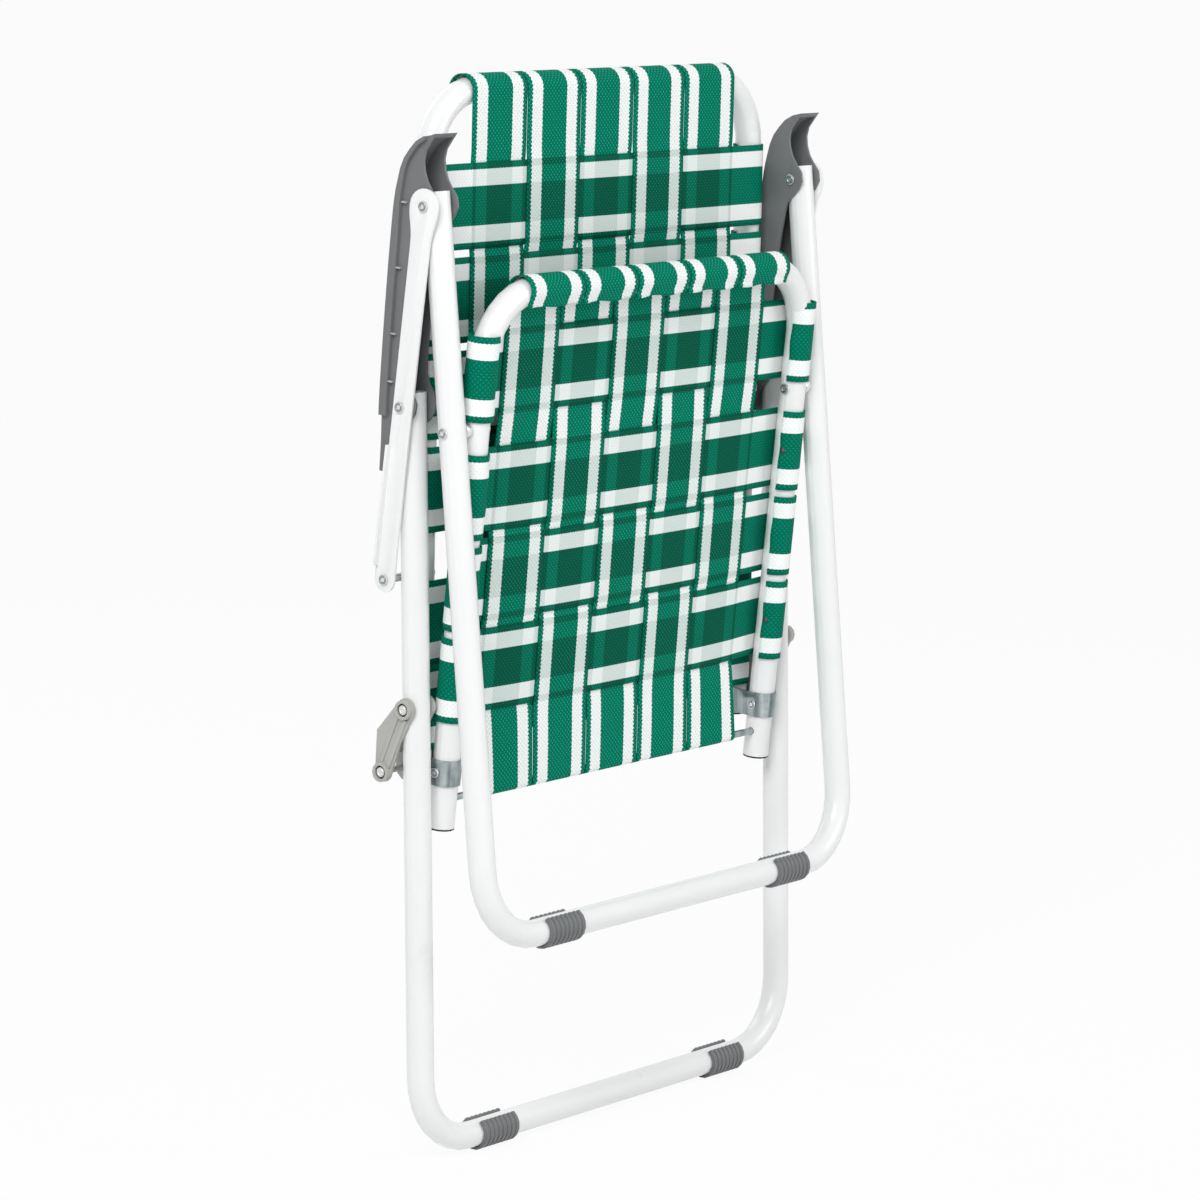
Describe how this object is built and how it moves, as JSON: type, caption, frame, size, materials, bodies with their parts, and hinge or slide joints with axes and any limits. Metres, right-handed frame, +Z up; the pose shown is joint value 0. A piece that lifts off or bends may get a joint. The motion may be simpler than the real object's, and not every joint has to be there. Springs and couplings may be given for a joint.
{
  "type": "folding webbed lawn chair",
  "caption": "Folding lawn chair in tubular steel with woven webbing, shown folded flat with its armrests, arm bars and links.",
  "frame": {"origin": "on the floor under the middle of the folded chair", "axes": "+Z up along the folded chair, +X to the sitter's left when the seat's underside faces -Y, +Y towards the back rest"},
  "size_m": [0.525, 0.121, 0.8662],
  "materials": {
    "white_steel": "gloss",
    "zinc_steel": "satin",
    "webbing": "matte",
    "grey_plastic": "satin",
    "light_plastic": "satin",
    "black_plastic": "matte"
  },
  "bodies": {
    "back": {"back_frame": "white_steel", "back_lower_rod": "zinc_steel", "back_cross_strap_1": "webbing", "back_cross_strap_2": "webbing", "back_cross_strap_3": "webbing", "back_cross_strap_4": "webbing", "back_cross_strap_5": "webbing", "back_cross_strap_6": "webbing", "back_long_strap_1": "webbing", "back_long_strap_2": "webbing", "back_long_strap_3": "webbing", "back_long_strap_4": "webbing", "back_long_strap_5": "webbing", "back_end_cap_left": "black_plastic", "back_end_cap_right": "black_plastic", "hinge_pin_left": "zinc_steel", "hinge_pin_right": "zinc_steel"},
    "arms": {"armrest_left": "grey_plastic", "armrest_right": "grey_plastic", "arm_bar_left": "white_steel", "arm_bar_right": "white_steel", "arm_front_rivet_left": "zinc_steel", "arm_front_rivet_right": "zinc_steel", "arm_middle_rivet_left": "zinc_steel", "arm_middle_rivet_right": "zinc_steel", "arm_rear_rivet_left": "zinc_steel", "arm_rear_rivet_right": "zinc_steel"},
    "rear_legs": {"rear_leg_frame": "white_steel", "rear_foot_clip_left": "grey_plastic", "rear_foot_clip_right": "grey_plastic"},
    "front_legs": {"front_leg_frame": "white_steel", "front_foot_clip_left": "grey_plastic", "front_foot_clip_right": "grey_plastic", "seat_pivot_rivet_left": "zinc_steel", "seat_pivot_rivet_right": "zinc_steel"},
    "seat": {"seat_frame": "white_steel", "seat_rear_rod": "zinc_steel", "seat_cross_strap_1": "webbing", "seat_cross_strap_2": "webbing", "seat_cross_strap_3": "webbing", "seat_cross_strap_4": "webbing", "seat_long_strap_1": "webbing", "seat_long_strap_2": "webbing", "seat_long_strap_3": "webbing", "seat_long_strap_4": "webbing", "seat_long_strap_5": "webbing", "seat_end_cap_left": "black_plastic", "seat_end_cap_right": "black_plastic", "hinge_bracket_left": "zinc_steel", "hinge_bracket_right": "zinc_steel", "bracket_rivet_left": "zinc_steel", "bracket_rivet_right": "zinc_steel", "seat_pivot_spacer_left": "zinc_steel", "seat_pivot_spacer_right": "zinc_steel"},
    "links": {"folding_link_left": "light_plastic", "folding_link_right": "light_plastic", "link_upper_rivet_left": "zinc_steel", "link_upper_rivet_right": "zinc_steel", "link_lower_pin_left": "zinc_steel", "link_lower_pin_right": "zinc_steel"}
  },
  "joints": [
    {"name": "arm_pivot", "type": "hinge", "parent": "back", "child": "arms", "pos_m": [0, 0.0438, 0.47268], "axis": [1, 0, 0], "range_deg": [0, 90]},
    {"name": "rear_leg_pivot", "type": "hinge", "parent": "arms", "child": "rear_legs", "pos_m": [0, 0.0266, 0.60962], "axis": [1, 0, 0], "range_deg": [-54, 0]},
    {"name": "front_leg_pivot", "type": "hinge", "parent": "arms", "child": "front_legs", "pos_m": [0, 0.00144, 0.76664], "axis": [1, 0, 0], "range_deg": [-77, 0]},
    {"name": "seat_hinge", "type": "hinge", "parent": "back", "child": "seat", "pos_m": [0, 0.0481, 0.31874], "axis": [1, 0, 0], "range_deg": [0, 91]},
    {"name": "link_pivot", "type": "hinge", "parent": "rear_legs", "child": "links", "pos_m": [0, 0.02479, 0.37063], "axis": [1, 0, 0], "range_deg": [0, 119]}
  ],
  "couplings": [
    {"joint": "rear_leg_pivot", "follows": "arm_pivot", "ratio": -0.596},
    {"joint": "front_leg_pivot", "follows": "arm_pivot", "ratio": -0.853},
    {"joint": "seat_hinge", "follows": "arm_pivot", "ratio": 1.003},
    {"joint": "link_pivot", "follows": "arm_pivot", "ratio": 1.315}
  ]
}
